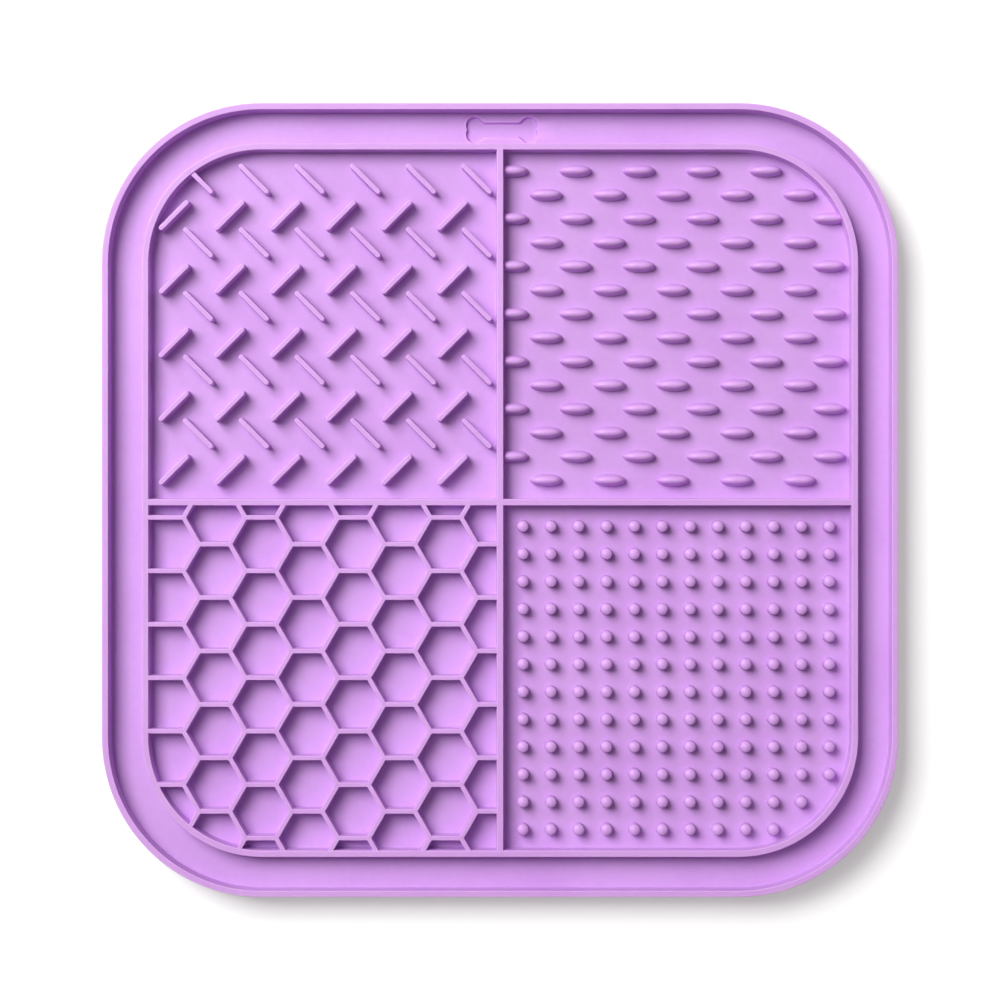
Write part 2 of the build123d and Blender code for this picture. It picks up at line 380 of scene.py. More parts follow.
def rounded_outline(half, radius, side_places, corner_steps):
    """Skeleton points and outward directions round a rectangle with round corners, anticlockwise.

    A point of the outline is its skeleton point plus the radius times its direction: along a side the
    skeleton runs beside it, and round a corner it stays at the corner's centre. side_places gives the places
    along each side as shares from -1 to 1, for the +Y, -X, -Y and +X sides in turn.
    """
    core = np.array(half) - radius
    skeleton, direction = [], []
    for number, places in enumerate(side_places):
        turn = (number + 1) * pi / 2
        outward = np.array([np.cos(turn), np.sin(turn)])
        along = np.array([-np.sin(turn), np.cos(turn)])
        middle = np.abs(outward * core).sum() * outward
        reach = np.abs(along * core).sum()
        side = middle + places[:, None] * reach * along
        sweep = turn + np.linspace(0.0, pi / 2, corner_steps + 1)[1:-1]
        skeleton += [side, np.repeat(side[-1:], len(sweep), axis=0)]
        direction += [
            np.repeat(outward[None], len(places), axis=0),
            np.stack([np.cos(sweep), np.sin(sweep)], axis=1),
        ]
    return np.concatenate(skeleton), np.concatenate(direction)


def round_slots(starts, ends, profile, cap_steps):
    """Rings of round-ended bars: each row (offset, height) of the profile is a slot outline at that height.

    The outline is every point at the offset from the bar's middle line, half a turn round each end.
    """
    axis = ends - starts
    heading = np.arctan2(axis[:, 1], axis[:, 0])[:, None]
    sweep = np.linspace(-pi / 2, pi / 2, cap_steps + 1)
    angles = np.concatenate([heading + sweep, heading + pi + sweep], axis=1)
    end_centres = np.repeat(ends[:, None], len(sweep), axis=1)
    start_centres = np.repeat(starts[:, None], len(sweep), axis=1)
    centres = np.concatenate([end_centres, start_centres], axis=1)
    round_way = np.stack([np.cos(angles), np.sin(angles)], axis=-1)
    plan = centres[:, None] + profile[None, :, None, :1] * round_way[:, None]
    return with_rise(plan, profile[:, None, 1] + FLOOR)


def turned(places, profile, samples):
    """Rings of turned shapes: each row (radius, height) of the profile goes round the shape's own axis."""
    angle = np.linspace(0.0, 2 * pi, samples, endpoint=False)
    circle = np.stack([np.cos(angle), np.sin(angle)], axis=-1)
    plan = places[:, None, None] + profile[None, :, None, :1] * circle[None, None]
    return with_rise(plan, profile[:, None, 1])


def room_radius(sizes):
    """Radius of the corners of the room inside the inner rim."""
    return sizes.corner_radius - INNER_INSET - sizes.inner_rim_width


def way_out(points, heading, sizes, low, high):
    """How far each point can go along its heading before it is well inside the walls round its field.

    The field is the rectangle from low to high, cut by the circle of the room's nearest corner. Both are
    grown by half a wall, so that what is cut off there ends inside the wall.
    """
    grow = sizes.inner_rim_width / 2
    with np.errstate(divide="ignore", invalid="ignore"):
        to_high = np.where(heading > NEARLY_ZERO, (high + grow - points) / heading, np.inf)
        to_low = np.where(heading < -NEARLY_ZERO, (low - grow - points) / heading, np.inf)
    reach = np.minimum(to_high, to_low).min(axis=-1)
    outer = outer_corner(low, high)
    radius = room_radius(sizes)
    centre = outer - np.sign(outer) * radius
    offset = points - centre
    along = (offset * heading).sum(axis=-1)
    square = along**2 - (offset**2).sum(axis=-1) + (radius + grow) ** 2
    to_arc = np.sqrt(np.maximum(square, 0.0)) - along
    landing = offset + to_arc[..., None] * heading
    on_corner = ((landing * np.sign(outer)) > 0).all(axis=-1)
    return np.where(on_corner, np.minimum(reach, to_arc), reach)


def field_sides(sizes, column, line):
    """Lowest and highest corner of a field: column -1 is left and 1 right, line -1 is lower and 1 upper."""
    outer = INNER_HALF - sizes.inner_rim_width
    x_sides = sorted([column * CENTRE_HALF, column * outer[0]])
    y_sides = sorted([CROSS_HIGH if line > 0 else CROSS_LOW, line * outer[1]])
    return np.array([x_sides[0], y_sides[0]]), np.array([x_sides[1], y_sides[1]])


def outer_corner(low, high):
    """The corner of a field that lies furthest from the mat's middle."""
    return np.where(np.abs(low) > np.abs(high), low, high)


def add_node(tree, kind, values=None, **settings):
    """A new shader node with its settings, and values for inputs by their names or numbers."""
    node = tree.nodes.new(kind)
    for name, value in settings.items():
        setattr(node, name, value)
    for socket, value in (values or {}).items():
        node.inputs[socket].default_value = value
    return node


def join(tree, *links):
    """Links in a shader tree, each given as a node, its output, the next node and its input."""
    for source, output, target, socket in links:
        tree.links.new(source.outputs[output], target.inputs[socket])


def moulded_skin_group():
    """Node group of moulded silicone: faint clouds in the dye, matt grain, and a paler, smoother painted
    highlight.

    It reads Object coordinates and puts out the dye, the roughness and the height of the grain. Large clouds
    plus a share of a finer mottle turn the dye towards its deep colour, the painted highlight turns it towards
    the highlight colour, and the grain makes the roughness vary about the one given, which the highlight
    lowers.
    """
    group = bpy.data.node_groups.new("MouldedSkin", "ShaderNodeTree")
    face = group.interface
    for name, kind, value in (
        ("Colour", "NodeSocketColor", (0.6, 0.3, 0.8, 1.0)),
        ("Deep Colour", "NodeSocketColor", (0.5, 0.25, 0.7, 1.0)),
        ("Highlight Colour", "NodeSocketColor", (0.8, 0.5, 0.9, 1.0)),
        ("Painted Highlight", "NodeSocketFloat", 0.0),
        ("Roughness", "NodeSocketFloat", 0.5),
        ("Grain Scale", "NodeSocketFloat", 4000.0),
        ("Cloud Scale", "NodeSocketFloat", 40.0),
    ):
        face.new_socket(name, in_out="INPUT", socket_type=kind).default_value = value
    face.new_socket("Dye", in_out="OUTPUT", socket_type="NodeSocketColor")
    face.new_socket("Skin Roughness", in_out="OUTPUT", socket_type="NodeSocketFloat")
    face.new_socket("Grain", in_out="OUTPUT", socket_type="NodeSocketFloat")
    given = add_node(group, "NodeGroupInput")
    result = add_node(group, "NodeGroupOutput")
    place = add_node(group, "ShaderNodeTexCoord")
    cloud = add_node(group, "ShaderNodeTexNoise", {"Detail": 3.0}, noise_dimensions="3D")
    mottle = add_node(group, "ShaderNodeTexNoise", {"Detail": 2.0}, noise_dimensions="3D")
    grain = add_node(group, "ShaderNodeTexNoise", {"Detail": 4.0, "Roughness": 0.6}, noise_dimensions="3D")
    coarser = add_node(group, "ShaderNodeMath", {1: 1.0 / MOTTLE_SIZE}, operation="MULTIPLY")
    blend = add_node(group, "ShaderNodeMath", {1: MOTTLE_SHARE}, operation="MULTIPLY_ADD")
    cloud_range = {"From Min": 0.45, "From Max": 0.95}
    spread = add_node(group, "ShaderNodeMapRange", cloud_range, interpolation_type="SMOOTHSTEP")
    dye = add_node(group, "ShaderNodeMix", data_type="RGBA")
    # painted highlight: mixes the dye towards the paler highlight colour
    highlighted = add_node(group, "ShaderNodeMix", data_type="RGBA")
    smooth = add_node(group, "ShaderNodeMath", {1: -HIGHLIGHT_SMOOTHING}, operation="MULTIPLY_ADD")
    rough = add_node(group, "ShaderNodeMath", {1: GRAIN_ROUGHENING}, operation="MULTIPLY_ADD")
    shift = add_node(group, "ShaderNodeMath", {1: GRAIN_ROUGHENING / 2}, operation="SUBTRACT")
    for texture in (cloud, mottle, grain):
        join(group, (place, "Object", texture, "Vector"))
    join(
        group,
        (given, "Cloud Scale", cloud, "Scale"),
        (given, "Grain Scale", coarser, 0),
        (coarser, 0, mottle, "Scale"),
        (given, "Grain Scale", grain, "Scale"),
        (mottle, "Fac", blend, 0),
        (cloud, "Fac", blend, 2),
        (blend, 0, spread, "Value"),
        (spread, "Result", dye, "Factor"),
        (given, "Colour", dye, "A"),
        (given, "Deep Colour", dye, "B"),
        (grain, "Fac", rough, 0),
        (given, "Roughness", shift, 0),
        (shift, 0, rough, 2),
        (given, "Painted Highlight", highlighted, "Factor"),
        (dye, "Result", highlighted, "A"),
        (given, "Highlight Colour", highlighted, "B"),
        (given, "Painted Highlight", smooth, 0),
        (rough, 0, smooth, 2),
        (highlighted, "Result", result, "Dye"),
        (smooth, 0, result, "Skin Roughness"),
        (grain, "Fac", result, "Grain"),
    )
    return group


def silicone(name, roughness, grain_depth):
    """Silicone material: the moulded skin feeds a shader that lets a little light pass under the surface."""
    known = bpy.data.materials.get(name)
    if known:
        return known
    finish = bpy.context.scene.lick_mat_finish
    material = bpy.data.materials.new(name)
    material.use_nodes = True
    tree = material.node_tree
    tree.nodes.clear()
    group = bpy.data.node_groups.get("MouldedSkin") or moulded_skin_group()
    skin_values = {
        "Colour": (*finish.colour, 1.0),
        "Deep Colour": (*finish.deep_colour, 1.0),
        "Highlight Colour": (*finish.highlight_colour, 1.0),
        "Roughness": roughness,
        "Grain Scale": 1.0 / finish.grain,
        "Cloud Scale": 1.0 / finish.cloud,
    }
    skin = add_node(tree, "ShaderNodeGroup", skin_values, node_tree=group)
    # painted highlight kept with each point, which pales the dye where light catches the surface
    painted_highlight = add_node(tree, "ShaderNodeAttribute", attribute_name="painted_highlight")
    bump = add_node(tree, "ShaderNodeBump", {"Strength": 0.35, "Distance": grain_depth})
    shader_values = {
        "Specular IOR Level": 0.5,
        "IOR": 1.41,
        "Subsurface Weight": finish.glow,
        "Subsurface Radius": (1.25, 0.45, 0.9),
        "Subsurface Scale": 0.7 * MM,
    }
    shader = add_node(tree, "ShaderNodeBsdfPrincipled", shader_values)
    output = add_node(tree, "ShaderNodeOutputMaterial")
    join(
        tree,
        (painted_highlight, "Fac", skin, "Painted Highlight"),
        (skin, "Dye", shader, "Base Color"),
        (skin, "Skin Roughness", shader, "Roughness"),
        (skin, "Grain", bump, "Height"),
        (bump, "Normal", shader, "Normal"),
        (shader, "BSDF", output, "Surface"),
    )
    return material


def moulded_silicone():
    """Matt silicone of the sheet and of all that stands on it."""
    return silicone("LilacSilicone", bpy.context.scene.lick_mat_finish.roughness, MOULDED_GRAIN_DEPTH)


def polished_silicone():
    """Smoother silicone of the cups, which the mould polishes so that they grip."""
    roughness = bpy.context.scene.lick_mat_finish.roughness * POLISHED_SHARE
    return silicone("CupSilicone", roughness, POLISHED_GRAIN_DEPTH)


def bone_distance(x, y, bone):
    """Distance from the edge of the bone mark, below zero inside it: a bar joined to two lobes at each end.

    The two distances are joined by their lesser one, lowered a little where they are nearly alike, which
    rounds the corners between them.
    """
    end = bone.bone_length / 2 - bone.lobe_radius
    bar_x = np.abs(x) - end
    bar_y = np.abs(y) - bone.shank_width / 2
    outside = np.hypot(np.maximum(bar_x, 0.0), np.maximum(bar_y, 0.0))
    bar = outside + np.minimum(np.maximum(bar_x, bar_y), 0.0)
    lobes = np.hypot(np.abs(x) - end, np.abs(y) - bone.lobe_offset) - bone.lobe_radius
    alike = np.maximum(bone.blend - np.abs(bar - lobes), 0.0)
    return np.minimum(bar, lobes) - alike**2 / (4 * bone.blend)


class LICKMAT_OT_backing_sheet(bpy.types.Operator):
    """Build the sheet that carries the mat's features, with the bone mark sunk in its border"""

    bl_idname = "lickmat.backing_sheet"
    bl_label = "Backing Sheet"

    def execute(self, context):
        """Carries a section round the mat's outline, then sinks the bone mark, with a painted highlight round
        its edge.

        The section runs from the middle of the underside out to the lower edge, up the side and back in over
        the top. Inside the corner radius each ring shrinks towards the middle. The mark sinks as a smooth
        step, 3 d^2 - 2 d^3, where d rises from 0 to 1 across its slope.
        """
        sizes, bone = context.scene.lick_mat_sizes, context.scene.lick_mat_bone
        radius = sizes.corner_radius
        coarse = np.linspace(-1.0, 1.0, SHEET_SIDE_POINTS)
        half_side = MAT_HALF[0] - radius
        mark = bone.bone_length / 2 + bone.slope + abs(bone.shift_x)
        fine = np.linspace(-mark, mark, int(2 * mark / bone.spacing)) / half_side
        dense = np.unique(np.concatenate([coarse[np.abs(coarse) > mark / half_side], fine]))
        side_places = [dense, coarse, coarse, coarse]
        skeleton, outward = rounded_outline(MAT_HALF, radius, side_places, SHEET_CORNER_STEPS)
        sine, cosine = quarter_round(sizes.arc_steps)
        edge = sizes.sheet_edge_radius
        channel_start = sizes.outer_rim_width
        channel_count = int((INNER_INSET - channel_start) / bone.spacing)
        channel_lines = np.linspace(channel_start, INNER_INSET, channel_count)
        flat_count = len(FLAT_SHARES)
        insets = np.concatenate([
            [radius] * flat_count,
            [edge],
            edge * (1 - sine[1:]),
            [0.0],
            channel_lines,
            [radius] * flat_count,
        ])
        shares = np.ones(len(insets))
        shares[:flat_count] = FLAT_SHARES
        shares[-flat_count:] = FLAT_SHARES[::-1]
        low = SHEET_LOW[2]
        under = flat_count + 1
        rises = np.full(len(insets), FLOOR)
        rises[:under] = low
        rises[under : under + len(sine) - 1] = low + edge * (1 - cosine[1:])
        plan = shares[:, None, None] * skeleton + (radius - insets)[:, None, None] * outward
        bone_y = MAT_HALF[1] - (channel_start + INNER_INSET) / 2 + bone.shift_y
        distance = bone_distance(plan[..., 0] - bone.shift_x, plan[..., 1] - bone_y, bone)
        depth = np.clip(0.5 - distance / bone.slope, 0.0, 1.0)
        on_top = (rises > FLOOR - NEARLY_LEVEL)[:, None]
        rise = rises[:, None] - on_top * bone.depth * depth**2 * (3 - 2 * depth)
        # painted highlight round the bone mark's edge, where its step catches the light
        painted_highlight = on_top * BONE_HIGHLIGHT * np.exp(-(((distance - bone.slope) / bone.slope) ** 2))
        rings = with_rise(plan, rise)[None]
        make_piece("BackingSheet", rings, "caps", ["backing_sheet"], moulded_silicone(), painted_highlight)
        return {"FINISHED"}


class LICKMAT_OT_rims(bpy.types.Operator):
    """Build the outer and the inner rim"""

    bl_idname = "lickmat.rims"
    bl_label = "Rims"

    def ring(self, name, nodes, insets, rises, painted_highlight, sizes):
        """Carries a closed section, rows of inset and height above the floor, round the mat's outline."""
        coarse = np.linspace(-1.0, 1.0, RIM_SIDE_POINTS)
        skeleton, outward = rounded_outline(MAT_HALF, sizes.corner_radius, [coarse] * 4, RIM_CORNER_STEPS)
        plan = skeleton + (sizes.corner_radius - insets)[:, None, None] * outward
        rings = with_rise(plan, rises[:, None] + FLOOR)[None]
        make_piece(name, rings, "loop", nodes, moulded_silicone(), painted_highlight[:, None])

    def execute(self, context):
        """The inner rim has two moulded sides; the outer rim's outer side stands plumb over the sheet's."""
        sizes = context.scene.lick_mat_sizes
        # painted highlight along the rims' rounded top edges and on their flat tops
        painted_highlight = side_highlight(sizes)
        quarters = nodes_called("outer_rim")
        outer_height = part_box(quarters[0])[1][2] - FLOOR
        half = sizes.outer_rim_width / 2
        inner_side = wall_side(half, outer_height, sizes.edge_radius, sizes)
        edge_start = sizes.arc_steps + 2
        foot = np.array([[half - sizes.foot_radius, -sizes.sink], [half, 0.0]])
        outer_side = np.concatenate([foot, inner_side[edge_start:]])
        insets = np.concatenate([half - outer_side[:, 0], half + inner_side[::-1, 0]])
        rises = np.concatenate([outer_side[:, 1], inner_side[::-1, 1]])
        outer_highlight = np.concatenate([np.zeros(len(foot)), painted_highlight[edge_start:], painted_highlight[::-1]])
        self.ring("OuterRim", quarters, insets, rises, outer_highlight, sizes)
        half = sizes.inner_rim_width / 2
        side = wall_side(half, WALL_HEIGHT, sizes.edge_radius, sizes)
        insets = INNER_INSET + half + np.concatenate([-side[:, 0], side[::-1, 0]])
        self.ring("InnerRim", ["inner_rim"], insets, both_ways(side[:, 1]), both_ways(painted_highlight), sizes)
        return {"FINISHED"}


class LICKMAT_OT_field_walls(bpy.types.Operator):
    """Build the crossed walls that part the four fields"""

    bl_idname = "lickmat.field_walls"
    bl_label = "Field Walls"

    def execute(self, context):
        """Each wall is a moulded section carried straight from inside one wall to inside the next."""
        sizes = context.scene.lick_mat_sizes
        reach = INNER_HALF - sizes.inner_rim_width / 2
        inside = CENTRE_HALF / 3
        cross = (CROSS_LOW + CROSS_HIGH) / 2
        runs = (
            ("centre_wall", "CentreWall", (0.0, -reach[1]), (0.0, reach[1])),
            ("left_cross_wall", "LeftCrossWall", (-reach[0], cross), (-inside, cross)),
            ("right_cross_wall", "RightCrossWall", (inside, cross), (reach[0], cross)),
        )
        for number, (node, name, start, end) in enumerate(runs, start=1):
            low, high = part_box(node)
            width = min(high[0] - low[0], high[1] - low[1])
            side = wall_side(width / 2, WALL_HEIGHT - number * WALL_STEP, sizes.edge_radius, sizes)
            offsets = np.concatenate([side[:, 0], -side[::-1, 0]])
            ends = np.array([start, end])
            heading = (ends[1] - ends[0]) / np.hypot(*(ends[1] - ends[0]))
            across = np.array([heading[1], -heading[0]])
            plan = ends[:, None] + offsets[:, None] * across
            rings = with_rise(plan, both_ways(side[:, 1]) + FLOOR)[None]
            # painted highlight along the walls' rounded top edges and flat tops
            painted_highlight = both_ways(side_highlight(sizes))
            make_piece(name, rings[:, ::-1], "caps", [node], moulded_silicone(), painted_highlight)
        return {"FINISHED"}


class LICKMAT_OT_slanted_ribs(bpy.types.Operator):
    """Build the rows of slanted ribs in the upper left field"""

    bl_idname = "lickmat.slanted_ribs"
    bl_label = "Slanted Ribs"

    def execute(self, context):
        """Each rib is a round-ended bar with a moulded section, shortened where it runs into a wall."""
        sizes, field = context.scene.lick_mat_sizes, context.scene.lick_mat_fields
        low, high = field_sides(sizes, -1, 1)
        half = (field.rib_length - field.rib_width) / 2
        # painted highlight along the ribs' rounded top edges and flat tops
        painted_highlight = side_highlight(sizes)[:, None]
        for kind, slant in (("falling", -1.0), ("rising", 1.0)):
            rows = nodes_called(f"{kind}_ribs_row_")
            whole_low, whole_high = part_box(rows[1])
            span = (whole_high[1] - whole_low[1]) / 2
            columns = np.linspace(whole_low[0] + span, whole_high[0] - span, RIBS_IN_ROW)
            heading = np.array([1.0, slant]) / sqrt(2)
            for number, node in enumerate(rows, start=1):
                row_low, row_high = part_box(node)
                places = in_row(columns, row_low, row_high)
                headings = np.broadcast_to(heading, places.shape)
                ahead = np.minimum(half, way_out(places, headings, sizes, low, high))
                back = np.minimum(half, way_out(places, -headings, sizes, low, high))
                ends = places + ahead[:, None] * heading
                starts = places - back[:, None] * heading
                edge = sizes.edge_radius * RIB_EDGE
                profile = wall_side(field.rib_width / 2, row_high[2] - FLOOR, edge, sizes)
                rings = round_slots(starts, ends, profile, RIB_END_STEPS)
                name = f"{kind.title()}Ribs{number}"
                make_piece(name, rings, "caps", [node], moulded_silicone(), painted_highlight)
        return {"FINISHED"}


class LICKMAT_OT_oval_nubs(bpy.types.Operator):
    """Build the staggered rows of oval nubs in the upper right field"""

    bl_idname = "lickmat.oval_nubs"
    bl_label = "Oval Nubs"

    def execute(self, context):
        """Each nub is an oval pillow with a small foot, held back inside the walls that it runs into.

        Short and long rows take turns. The second row gives the short rows' columns, and the fifth, which
        the round corner doesn't reach, gives the last column of the long rows.
        """
        sizes, field = context.scene.lick_mat_sizes, context.scene.lick_mat_fields
        rows = nodes_called("oval_nubs_row_")
        half_length = field.oval_length / 2
        short_low, short_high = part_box(rows[1])
        first, last = short_low[0] + half_length, short_high[0] - half_length
        short_columns = np.linspace(first, last, OVALS_IN_SHORT_ROW)
        pitch = short_columns[1] - short_columns[0]
        steps_back = np.arange(OVALS_IN_LONG_ROW - 1, -1, -1)
        long_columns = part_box(rows[4])[1][0] - half_length - pitch * steps_back
        low, high = field_sides(sizes, 1, 1)
        grow = sizes.inner_rim_width / 2
        radius = room_radius(sizes)
        centre = high - radius
        for number, node in enumerate(rows, start=1):
            row_low, row_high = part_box(node)
            places = in_row(long_columns if number % 2 else short_columns, row_low, row_high)
            beyond = np.maximum(places - centre, 0.0)
            places = places[np.hypot(beyond[:, 0], beyond[:, 1]) < radius]
            half_width = (row_high[1] - row_low[1]) / 2
            height = row_high[2] - FLOOR
            shape, rises, painted_highlight = self.pillow(half_length, half_width, height, sizes, field)
            plan = places[:, None, None] + shape
            plan = np.clip(plan, low - grow, high + grow)
            offset = np.maximum(plan - centre, 0.0)
            over = np.linalg.norm(offset, axis=-1, keepdims=True) / (radius + grow)
            over = np.maximum(over, 1.0)
            plan = np.where(over > 1.0, plan - offset * (1.0 - 1.0 / over), plan)
            rings = with_rise(plan, rises + FLOOR)
            make_piece(f"OvalNubs{number:02d}", rings, "caps", [node], moulded_silicone(), painted_highlight)
        return {"FINISHED"}

    def pillow(self, half_length, half_width, height, sizes, field):
        """Plan, rise and painted highlight of one nub: ovals that shrink towards the middle of a round-topped
        ridge.

        With u as a share of the half length, the ridge stands (1 - u^ridge)^(1/ridge) high. With w as a
        share of the oval's half width there, the rise across it falls as (1 - w^crest)^(1/crest), and the
        painted highlight falls as 1 - w^2 from its most on the ridge.
        """
        foot = sizes.foot_radius
        angle = np.linspace(0.0, 2 * pi, OVAL_POINTS, endpoint=False)
        unit = np.stack([np.cos(angle), np.sin(angle)], axis=-1)
        oval = unit * (half_length, half_width)
        outward = unit * (half_width, half_length)
        outward = outward / np.linalg.norm(outward, axis=-1, keepdims=True)
        share = OVAL_SHARES[:, None, None]
        u, v = np.moveaxis(share * unit, -1, 0)
        ridge = (1 - np.abs(u) ** field.oval_ridge) ** (1 / field.oval_ridge)
        across = np.abs(v) / np.sqrt(1 - u**2)
        rise = height * ridge * (1 - across**field.oval_crest) ** (1 / field.oval_crest)
        foot_plan = [oval + foot * outward, oval + FOOT_SPREAD * foot * outward]
        level = np.ones(OVAL_POINTS)
        plan = np.concatenate([foot_plan, share * oval])
        rises = np.concatenate([[-sizes.sink * level, foot * level], rise])
        # painted highlight, strongest on the ridge where the nub catches the light
        painted_highlight = np.concatenate([[0 * level, 0 * level], RIDGE_HIGHLIGHT * (1 - across**2)])
        return plan, rises, painted_highlight


class LICKMAT_OT_honeycomb(bpy.types.Operator):
    """Build the honeycomb walls of the lower left field"""

    bl_idname = "lickmat.honeycomb"
    bl_label = "Honeycomb"

    def execute(self, context):
        """Walls of three directions meet in threes, so each end is a point between two mitred sides.

        At each height the wall's plan is a bar with pointed ends, whose sides slant at 60 degrees. A wall
        that runs into a rim or a field wall is cut square there, inside it. The first column's level walls
        run straight on to the rim.
        """
        sizes, field = context.scene.lick_mat_sizes, context.scene.lick_mat_fields
        low, high = field_sides(sizes, -1, -1)
        side = field.comb_pitch / sqrt(3)
        column_pitch = 1.5 * side
        columns = np.arange(int((high[0] - low[0]) / column_pitch) + 2)
        lines = np.arange(-1, int((high[1] - low[1]) / field.comb_pitch) + 3)
        column, line = (grid.ravel() for grid in np.meshgrid(columns, lines))
        x = low[0] + field.comb_side_gap + column * column_pitch
        y = high[1] - field.comb_top_gap - (line + (column % 2) / 2) * field.comb_pitch
        shift = np.array([column_pitch / 2, field.comb_pitch / 4])
        middles = np.stack([x, y], axis=1)
        edge = sizes.edge_radius * COMB_EDGE
        profile = wall_side(field.comb_width / 2, WALL_HEIGHT - COMB_STEP, edge, sizes)
        # painted highlight along the honeycomb walls' rounded top edges and flat tops
        painted_highlight = side_highlight(sizes)[:, None]
        to_rim = field.comb_side_gap + sizes.inner_rim_width / 2
        for node, name, offset, degrees in (
            ("comb_level_walls", "CombLevelWalls", np.zeros(2), 0.0),
            ("comb_rising_walls", "CombRisingWalls", shift, 60.0),
            ("comb_falling_walls", "CombFallingWalls", shift * (1.0, -1.0), -60.0),
        ):
            heading = np.array([np.cos(radians(degrees)), np.sin(radians(degrees))])
            tails = np.where((column == 0) & (degrees == 0.0), to_rim, side / 2)
            places = middles + offset
            rings = self.walls(places, heading, tails, side / 2, profile, sizes, field, low, high)
            make_piece(name, rings, "caps", [node], moulded_silicone(), painted_highlight)
        return {"FINISHED"}

    def walls(self, places, heading, tails, half_side, profile, sizes, field, low, high):
        """Rings of all the walls of one direction, without those that lie outside the field.

        Points tried along each wall show how much of it lies in the field, and the middle of that stretch is
        where the way out to either end starts.
        """
        trials = np.linspace(-half_side, half_side, COMB_TRIAL_POINTS)
        points = places[:, None] + trials[:, None] * heading
        radius = room_radius(sizes)
        outer = outer_corner(low, high)
        corner = outer - np.sign(outer) * radius
        beyond = np.maximum((points - corner) * np.sign(outer), 0.0)
        in_sides = ((points > low) & (points < high)).all(axis=-1)
        inside = in_sides & (np.linalg.norm(beyond, axis=-1) < radius)
        kept = inside.sum(axis=1) * (trials[1] - trials[0]) > field.comb_least
        places, inside, tails = places[kept], inside[kept], tails[kept, None]
        middle = (np.where(inside, trials, 0.0).sum(axis=1) / inside.sum(axis=1))[:, None]
        anchor = places + middle * heading
        headings = np.broadcast_to(heading, anchor.shape)
        ahead = way_out(anchor, headings, sizes, low, high)[:, None]
        back = way_out(anchor, -headings, sizes, low, high)[:, None]
        end = np.minimum(half_side, middle + ahead)
        start = np.maximum(-tails, middle - back)
        width = profile[None, :, 0]
        mitre = width / sqrt(3)
        none = np.zeros_like(width)
        end_sides = end - np.where(end < half_side, 0.0, mitre)
        start_sides = start + np.where(start > -half_side, 0.0, mitre)
        along = [end + none, end_sides, start_sides, start + none, start_sides, end_sides]
        across = [none, width, width, none, -width, -width]
        along = np.stack(along, axis=-1)[..., None]
        across = np.stack(across, axis=-1)[..., None]
        normal = np.array([-heading[1], heading[0]])
        plan = places[:, None, None] + along * heading + across * normal
        return with_rise(plan, profile[:, None, 1] + FLOOR)


class LICKMAT_OT_round_nubs(bpy.types.Operator):
    """Build the rows of round nubs in the lower right field"""

    bl_idname = "lickmat.round_nubs"
    bl_label = "Round Nubs"

    def execute(self, context):
        """Each nub is turned: a small foot, a straight peg, a round shoulder and a slightly domed top.

        At a radius r the dome lies crown times (r / radius)^2 below its middle.
        """
        sizes, field = context.scene.lick_mat_sizes, context.scene.lick_mat_fields
        rows = nodes_called("round_nubs_row_")
        whole_low, whole_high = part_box(rows[0])
        radius = (whole_high[1] - whole_low[1]) / 2
        columns = np.linspace(whole_low[0] + radius, whole_high[0] - radius, NUBS_IN_ROW)
        edge, foot = field.nub_edge, sizes.foot_radius
        height = whole_high[2] - FLOOR
        flat = radius - edge
        slope = field.nub_crown / radius**2
        shoulder = height - slope * flat**2
        lower = height - field.nub_crown - edge
        eighth_turn = 0.71
        profile = np.array([
            [radius + foot, -sizes.sink],
            [radius + FOOT_SPREAD * foot, foot],
            [radius, lower],
            [radius - (1 - eighth_turn) * edge, lower + eighth_turn * (shoulder - lower)],
            [flat, shoulder],
            [0.5 * flat, height - slope * (0.5 * flat) ** 2],
            [0.05 * flat, height],
        ])
        profile = profile + (0.0, FLOOR)
        for number, node in enumerate(rows, start=1):
            row_low, row_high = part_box(node)
            places = in_row(columns[columns < row_high[0]], row_low, row_high)
            rings = turned(places, profile, NUB_POINTS)
            name = f"RoundNubs{number:02d}"
            # painted highlight on the nubs' shoulders and crowns, most at the top
            make_piece(name, rings, "caps", [node], moulded_silicone(), NUB_HIGHLIGHT[:, None])
        return {"FINISHED"}


class LICKMAT_OT_suction_cups(bpy.types.Operator):
    """Build the rows of suction cups under the sheet"""

    bl_idname = "lickmat.suction_cups"
    bl_label = "Suction Cups"

    def execute(self, context):
        """Each cup is turned: from the middle of its dish down to a flat lip, then up its skirt.

        With s as a share of the lip's radius, the dish stands 1 - s^2 of its depth high. The skirt draws in
        from the lip to the neck as (1 - t)^flare, where t rises from 0 to 1 with its height.
        """
        sizes, field = context.scene.lick_mat_sizes, context.scene.lick_mat_fields
        for number, node in enumerate(nodes_called("suction_cups_row_"), start=1):
            low, high = (np.array(corner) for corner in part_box(node))
            radius = (high[1] - low[1]) / 2
            columns = np.linspace(low[0] + radius, high[0] - radius, CUPS_IN_ROW)
            places = in_row(columns, low, high)
            lip = radius - field.cup_lip
            share = np.linspace(CUP_MIDDLE_SHARE, 1.0, CUP_DISH_POINTS)
            dish = np.stack([lip * share, field.cup_dish * (1 - share**2)], axis=1)
            top = high[2]
            neck = field.cup_neck
            rising = np.linspace(0.0, 1.0, CUP_SKIRT_POINTS)
            skirt = np.stack([neck + (radius - neck) * (1 - rising) ** CUP_FLARE, top * rising], axis=1)
            skirt[0, 1] = CUP_SKIRT_START
            lip_rows = np.array([[lip, 0.0], [radius - CUP_LIP_EDGE, 0.0]])
            seat = np.array([[neck, top + sizes.sink]])
            profile = np.concatenate([dish[:-1], lip_rows, skirt, seat])
            rings = turned(places, profile, CUP_POINTS)
            make_piece(f"SuctionCups{number}", rings, "caps", [node], polished_silicone())
        return {"FINISHED"}


